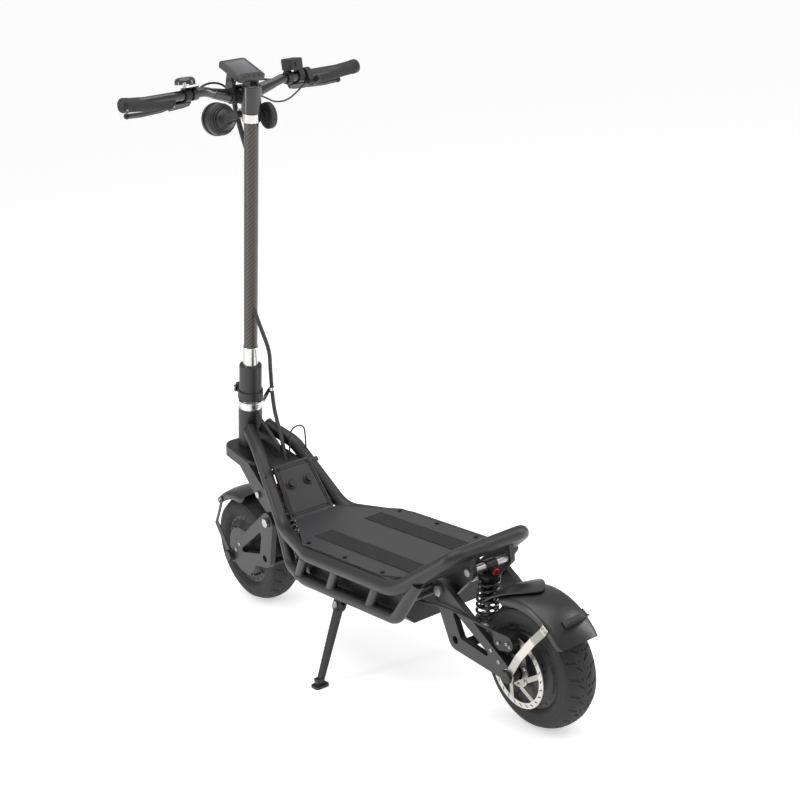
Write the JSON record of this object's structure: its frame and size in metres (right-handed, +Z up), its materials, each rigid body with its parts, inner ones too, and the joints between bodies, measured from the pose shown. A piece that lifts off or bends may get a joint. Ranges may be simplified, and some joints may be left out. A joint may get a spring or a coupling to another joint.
{
  "type": "electric kick scooter",
  "caption": "Folding electric kick scooter with a tubular frame, swingarm suspension at both wheels, hub motors, disc brakes, handlebar controls and a side stand.",
  "frame": {"origin": "on the floor, midway between the two axles, on the centre plane", "axes": "+X is the scooter's left, -Y its front, +Z up"},
  "size_m": [0.6406, 1.39, 1.3884],
  "materials": {
    "frame_paint": "satin",
    "deck_paint": "satin",
    "grit": "rough",
    "black_plastic": "satin",
    "gloss_black": "gloss",
    "steel": "brushed",
    "chrome": "polished",
    "alloy": "satin",
    "black_alloy": "anodised",
    "woven_tube": "woven",
    "tyre_rubber": "matte",
    "grip_rubber": "matte",
    "cable_black": "satin",
    "led": "gloss"
  },
  "bodies": {
    "chassis": {"head_tube": "frame_paint", "upper_rails": "frame_paint", "lower_rails": "frame_paint", "side_struts": "frame_paint", "frame_gussets": "frame_paint", "neck_panel": "frame_paint", "charge_ports": "black_plastic", "deck_plate": "deck_paint", "grip_strips": "grit", "frame_fasteners": "steel", "battery_tray": "frame_paint", "battery_and_controllers": "black_plastic", "led_strips": "led", "rear_hose": "cable_black", "loom_lower": "cable_black"},
    "steerer": {"steering_column": "alloy", "headset": "chrome", "front_fork": "black_alloy", "steering_bolts": "steel"},
    "lock": {"lock_sleeve": "black_alloy"},
    "stem": {"stem_collars": "alloy", "stem_tube": "woven_tube", "stem_head": "black_alloy", "handlebar": "black_alloy", "grips": "grip_rubber", "display": "gloss_black", "headlight": "black_alloy", "horn": "black_plastic", "brake_masters": "black_alloy", "right_controls": "black_plastic", "bell": "black_alloy", "bar_cables": "cable_black", "loom_upper": "cable_black"},
    "brake_lever_left": {"brake_lever_left": "black_alloy"},
    "brake_lever_right": {"brake_lever_right": "black_alloy"},
    "throttle_paddle": {"throttle_paddle": "black_plastic"},
    "bell_striker": {"bell_striker": "steel"},
    "switch_button": {"switch_button": "black_plastic"},
    "kickstand": {"kickstand": "black_alloy"},
    "front_arm": {"front_swingarm": "black_alloy", "front_fender": "gloss_black", "front_caliper": "black_alloy", "front_axle": "steel"},
    "front_damper": {"front_shock_body": "black_alloy", "front_spring": "gloss_black"},
    "front_rod": {"front_shock_rod": "steel"},
    "front_wheel": {"front_tyre": "tyre_rubber", "front_hub": "black_alloy", "front_disc": "steel"},
    "rear_arm": {"rear_swingarm": "black_alloy", "rear_fender": "gloss_black", "rear_caliper": "black_alloy", "rear_axle": "steel", "tail_bracket": "black_plastic"},
    "rear_damper": {"rear_shock_body": "black_alloy", "rear_spring": "gloss_black"},
    "rear_rod": {"rear_shock_rod": "steel"},
    "rear_wheel": {"rear_tyre": "tyre_rubber", "rear_hub": "black_alloy", "rear_disc": "steel"}
  },
  "joints": [
    {"name": "steering", "type": "hinge", "parent": "chassis", "child": "steerer", "pos_m": [0, -0.50911, 0.48337], "axis": [0, 0.2558, 0.9667], "range_deg": [-40, 40], "deforming": ["loom_lower"]},
    {"name": "stem_fold", "type": "hinge", "parent": "steerer", "child": "stem", "pos_m": [0, -0.47358, 0.56293], "axis": [-1, 0, 0], "range_deg": [0, 92], "deforming": ["loom_upper"]},
    {"name": "lock_slide", "type": "slide", "parent": "stem", "child": "lock", "axis": [0, 0.2558, 0.9667], "range_m": [0, 0.0614]},
    {"name": "brake_left", "type": "hinge", "parent": "stem", "child": "brake_lever_left", "pos_m": [0.176, -0.34913, 1.3082], "axis": [0, -0.5736, 0.8192], "range_deg": [0, 12], "stiffness_Nm_per_rad": 1.5, "springref_deg": -14.32},
    {"name": "brake_right", "type": "hinge", "parent": "stem", "child": "brake_lever_right", "pos_m": [-0.176, -0.34913, 1.3082], "axis": [0, 0.5736, -0.8192], "range_deg": [0, 12], "stiffness_Nm_per_rad": 1.5, "springref_deg": -14.32},
    {"name": "throttle", "type": "hinge", "parent": "stem", "child": "throttle_paddle", "pos_m": [-0.184, -0.301, 1.315], "axis": [-1, 0, 0], "range_deg": [0, 25], "stiffness_Nm_per_rad": 0.05, "springref_deg": -11.46},
    {"name": "bell_strike", "type": "hinge", "parent": "stem", "child": "bell_striker", "pos_m": [0.134, -0.299, 1.349], "axis": [0, 0, -1], "range_deg": [0, 6], "stiffness_Nm_per_rad": 0.03, "springref_deg": -5.73},
    {"name": "button_push", "type": "slide", "parent": "stem", "child": "switch_button", "axis": [0, -1, 0], "range_m": [0, 0.0015], "stiffness_N_per_m": 800, "springref_m": -0.0005},
    {"name": "kickstand_fold", "type": "hinge", "parent": "chassis", "child": "kickstand", "pos_m": [0.128, 0.003, 0.163], "axis": [-0.8663, 0, -0.4996], "range_deg": [0, 90]},
    {"name": "front_swing", "type": "hinge", "parent": "steerer", "child": "front_arm", "pos_m": [0, -0.346, 0.276], "axis": [-1, 0, 0], "range_deg": [0, 14], "stiffness_Nm_per_rad": 500, "springref_deg": -14.32},
    {"name": "front_shock_tilt", "type": "hinge", "parent": "steerer", "child": "front_damper", "pos_m": [0, -0.417, 0.326], "axis": [-1, 0, 0], "range_deg": [0, 8.47]},
    {"name": "front_shock_slide", "type": "slide", "parent": "front_damper", "child": "front_rod", "axis": [0, -0.2216, 0.9751], "range_m": [0, 0.01541], "deforming": ["front_spring"]},
    {"name": "front_wheel_spin", "type": "hinge", "parent": "front_arm", "child": "front_wheel", "pos_m": [0, -0.554, 0.141], "axis": [1, 0, 0], "continuous": true},
    {"name": "rear_swing", "type": "hinge", "parent": "chassis", "child": "rear_arm", "pos_m": [0, 0.346, 0.276], "axis": [1, 0, 0], "range_deg": [0, 14], "stiffness_Nm_per_rad": 500, "springref_deg": -14.32, "deforming": ["rear_hose"]},
    {"name": "rear_shock_tilt", "type": "hinge", "parent": "chassis", "child": "rear_damper", "pos_m": [0, 0.417, 0.326], "axis": [1, 0, 0], "range_deg": [0, 8.47]},
    {"name": "rear_shock_slide", "type": "slide", "parent": "rear_damper", "child": "rear_rod", "axis": [0, 0.2216, 0.9751], "range_m": [0, 0.01541], "deforming": ["rear_spring"]},
    {"name": "rear_wheel_spin", "type": "hinge", "parent": "rear_arm", "child": "rear_wheel", "pos_m": [0, 0.554, 0.141], "axis": [1, 0, 0], "continuous": true}
  ],
  "couplings": [
    {"joint": "lock_slide", "follows": "stem_fold", "m_per_rad": 0.038197},
    {"joint": "front_shock_tilt", "follows": "front_swing", "ratio": 0.60123},
    {"joint": "front_shock_slide", "follows": "front_swing", "m_per_rad": 0.062648},
    {"joint": "rear_shock_tilt", "follows": "rear_swing", "ratio": 0.60123},
    {"joint": "rear_shock_slide", "follows": "rear_swing", "m_per_rad": 0.062648}
  ]
}
